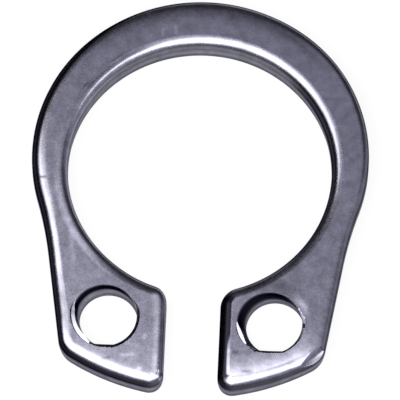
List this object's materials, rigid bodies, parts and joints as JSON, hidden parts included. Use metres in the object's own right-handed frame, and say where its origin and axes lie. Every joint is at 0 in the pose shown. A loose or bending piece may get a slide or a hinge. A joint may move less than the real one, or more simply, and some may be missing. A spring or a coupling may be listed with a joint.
{
  "type": "external retaining ring",
  "caption": "Flat spring steel ring with an open gap between two drilled lugs. It snaps into a shaft's groove and keeps what is on the shaft from sliding off.",
  "frame": {"origin": "centre of the bore, on the back face that the ring lies on", "axes": "+Z along the shaft, from the torn back face to the rolled front face; -Y through the middle of the gap between the lugs; +X to the right when the front is seen with the lugs at the bottom"},
  "size_m": [0.0094, 0.0116, 0.0008],
  "materials": {
    "spring_steel": "dark phosphated steel, tumbled: darker where the edges turn over, brighter along the rim of the bore and the gap"
  },
  "bodies": {
    "root": {"retaining_ring": "spring_steel"}
  },
  "joints": []
}
